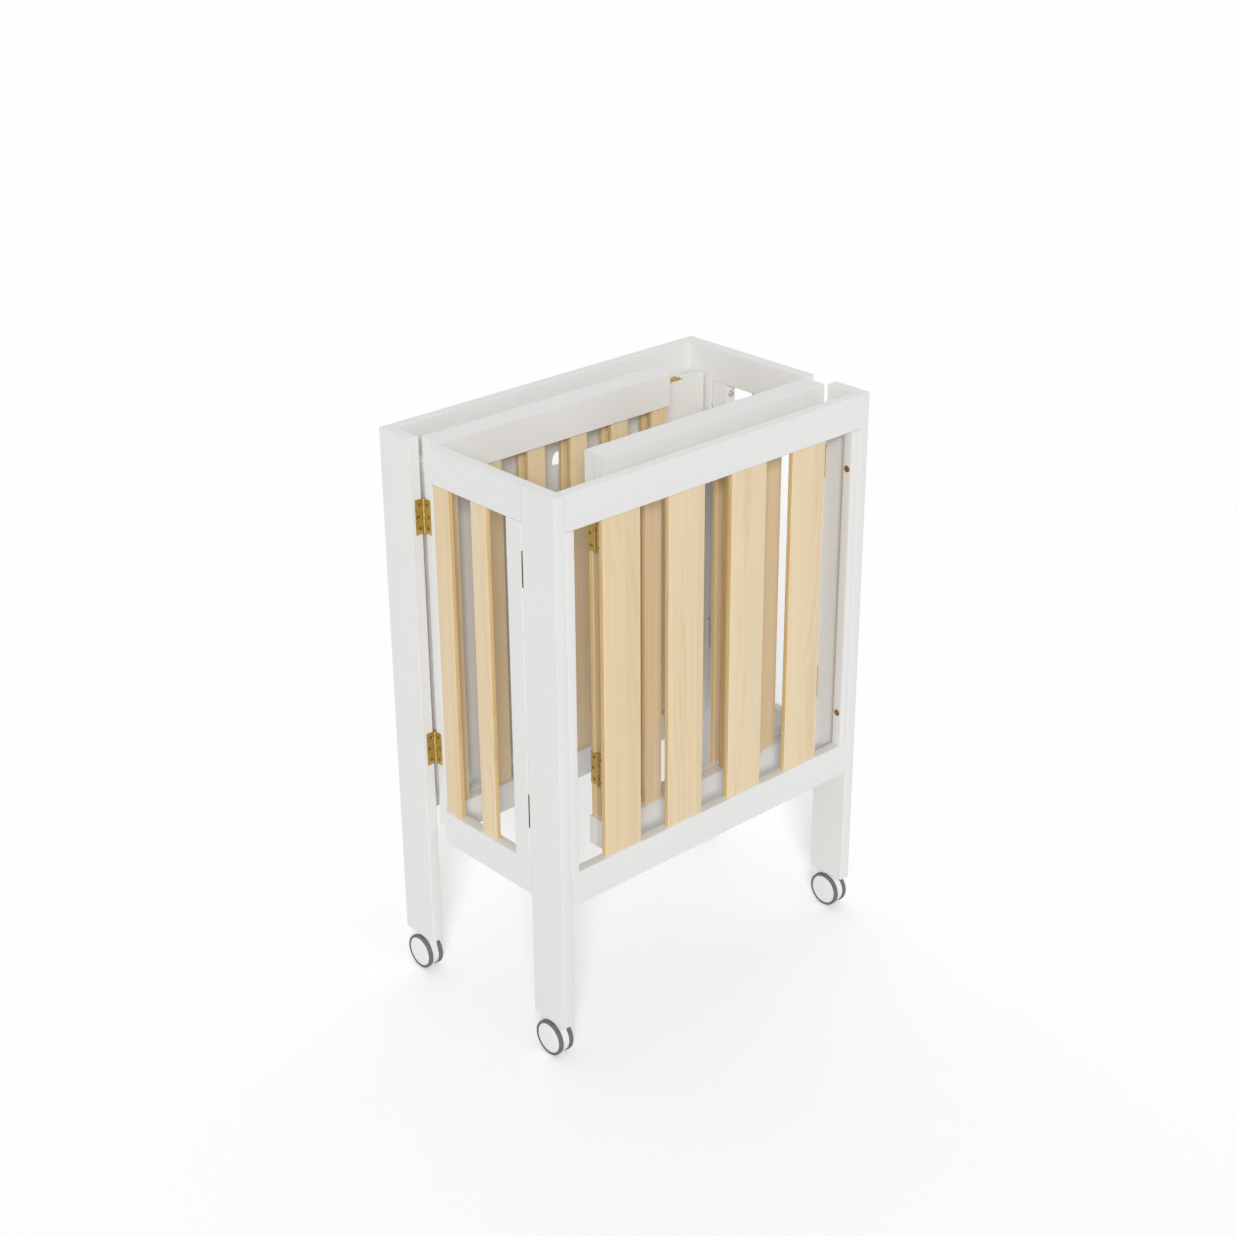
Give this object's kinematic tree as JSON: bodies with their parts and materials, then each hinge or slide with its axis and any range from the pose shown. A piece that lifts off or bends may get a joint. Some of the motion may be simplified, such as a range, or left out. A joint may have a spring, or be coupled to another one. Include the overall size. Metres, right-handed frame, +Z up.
{
  "type": "folding playpen",
  "caption": "Folding playpen on casters: slatted end frames joined by hinged slatted side panels that fold flat between them, with a folding base board.",
  "frame": {"origin": "on the floor, below the centre of the folded playpen", "axes": "+Z up, +X across the ends, +Y from the front end to the rear end, which is the way it unfolds"},
  "size_m": [0.6468, 0.392, 0.927],
  "materials": {
    "white_wood": "satin white lacquer over wood",
    "pine": "clear satin lacquer on pine",
    "brass": "brushed brass plate",
    "steel": "zinc plated",
    "white_plastic": "semi-gloss moulded",
    "tyre_rubber": "matt grey"
  },
  "bodies": {
    "front_end": {"front_left_leg": "white_wood", "front_right_leg": "white_wood", "front_rails": "white_wood", "front_stiles": "white_wood", "front_slats": "pine", "front_bolts": "steel", "front_caster_stems": "steel", "front_right_leg_leaves": "brass", "left_stub_frame": "white_wood", "left_stub_slats": "pine", "left_stub_bolts": "steel", "left_stub_shut_hinges": "brass", "left_stub_leaves": "brass"},
    "rear_end": {"rear_right_leg": "white_wood", "rear_left_leg": "white_wood", "rear_rails": "white_wood", "rear_stiles": "white_wood", "rear_slats": "pine", "rear_bolts": "steel", "rear_caster_stems": "steel", "rear_left_leg_leaves": "brass", "right_stub_frame": "white_wood", "right_stub_slats": "pine", "right_stub_bolts": "steel", "right_stub_shut_hinges": "brass", "right_stub_leaves": "brass", "base_rear_board": "white_wood", "base_front_board": "white_wood", "base_ledger": "white_wood", "base_seam_hinges": "brass", "base_ledger_hinges": "brass"},
    "left_front_panel": {"left_front_panel_frame": "white_wood", "left_front_panel_slats": "pine", "left_front_panel_stub_leaves": "brass", "left_front_panel_fold_leaves": "brass"},
    "left_rear_panel": {"left_rear_panel_frame": "white_wood", "left_rear_panel_slats": "pine", "left_rear_panel_fold_leaves": "brass", "left_rear_panel_leg_leaves": "brass"},
    "front_left_caster": {"front_left_caster_hood": "white_plastic"},
    "front_left_wheels": {"front_left_caster_wheels": "white_plastic", "front_left_caster_tyres": "tyre_rubber"},
    "front_right_caster": {"front_right_caster_hood": "white_plastic"},
    "front_right_wheels": {"front_right_caster_wheels": "white_plastic", "front_right_caster_tyres": "tyre_rubber"},
    "right_rear_panel": {"right_rear_panel_frame": "white_wood", "right_rear_panel_slats": "pine", "right_rear_panel_stub_leaves": "brass", "right_rear_panel_fold_leaves": "brass"},
    "right_front_panel": {"right_front_panel_frame": "white_wood", "right_front_panel_slats": "pine", "right_front_panel_fold_leaves": "brass", "right_front_panel_leg_leaves": "brass"},
    "rear_right_caster": {"rear_right_caster_hood": "white_plastic"},
    "rear_right_wheels": {"rear_right_caster_wheels": "white_plastic", "rear_right_caster_tyres": "tyre_rubber"},
    "rear_left_caster": {"rear_left_caster_hood": "white_plastic"},
    "rear_left_wheels": {"rear_left_caster_wheels": "white_plastic", "rear_left_caster_tyres": "tyre_rubber"}
  },
  "joints": [
    {"name": "left_side_fold", "type": "hinge", "parent": "front_end", "child": "left_front_panel", "pos_m": [-0.297, 0.0787, 0.5985], "axis": [0, 0, 1], "range_deg": [0, 90]},
    {"name": "left_middle_fold", "type": "hinge", "parent": "left_front_panel", "child": "left_rear_panel", "pos_m": [0.1629, 0.10225, 0.5985], "axis": [0, 0, 1], "range_deg": [-180, 0]},
    {"name": "rear_end_fold", "type": "hinge", "parent": "left_rear_panel", "child": "rear_end", "pos_m": [-0.297, 0.1258, 0.5985], "axis": [0, 0, 1], "range_deg": [0, 90]},
    {"name": "right_side_fold", "type": "hinge", "parent": "rear_end", "child": "right_rear_panel", "pos_m": [0.297, -0.0787, 0.5985], "axis": [0, 0, 1], "range_deg": [0, 90]},
    {"name": "right_middle_fold", "type": "hinge", "parent": "right_rear_panel", "child": "right_front_panel", "pos_m": [-0.1629, -0.10225, 0.5985], "axis": [0, 0, 1], "range_deg": [-180, 0]},
    {"name": "front_left_caster_swivel", "type": "hinge", "parent": "front_end", "child": "front_left_caster", "pos_m": [-0.31, -0.151, 0.0507], "axis": [0, 0, 1], "continuous": true},
    {"name": "front_left_wheels_roll", "type": "hinge", "parent": "front_left_caster", "child": "front_left_wheels", "pos_m": [-0.31, -0.161, 0.029], "axis": [1, 0, 0], "continuous": true},
    {"name": "front_right_caster_swivel", "type": "hinge", "parent": "front_end", "child": "front_right_caster", "pos_m": [0.31, -0.151, 0.0507], "axis": [0, 0, 1], "continuous": true},
    {"name": "front_right_wheels_roll", "type": "hinge", "parent": "front_right_caster", "child": "front_right_wheels", "pos_m": [0.31, -0.161, 0.029], "axis": [1, 0, 0], "continuous": true},
    {"name": "rear_right_caster_swivel", "type": "hinge", "parent": "rear_end", "child": "rear_right_caster", "pos_m": [0.31, 0.151, 0.0507], "axis": [0, 0, 1], "continuous": true},
    {"name": "rear_right_wheels_roll", "type": "hinge", "parent": "rear_right_caster", "child": "rear_right_wheels", "pos_m": [0.31, 0.161, 0.029], "axis": [1, 0, 0], "continuous": true},
    {"name": "rear_left_caster_swivel", "type": "hinge", "parent": "rear_end", "child": "rear_left_caster", "pos_m": [-0.31, 0.151, 0.0507], "axis": [0, 0, 1], "continuous": true},
    {"name": "rear_left_wheels_roll", "type": "hinge", "parent": "rear_left_caster", "child": "rear_left_wheels", "pos_m": [-0.31, 0.161, 0.029], "axis": [1, 0, 0], "continuous": true}
  ],
  "couplings": [
    {"joint": "left_middle_fold", "follows": "left_side_fold", "ratio": -2},
    {"joint": "rear_end_fold", "follows": "left_side_fold", "ratio": 1},
    {"joint": "right_side_fold", "follows": "left_side_fold", "ratio": 1},
    {"joint": "right_middle_fold", "follows": "left_side_fold", "ratio": -2}
  ]
}
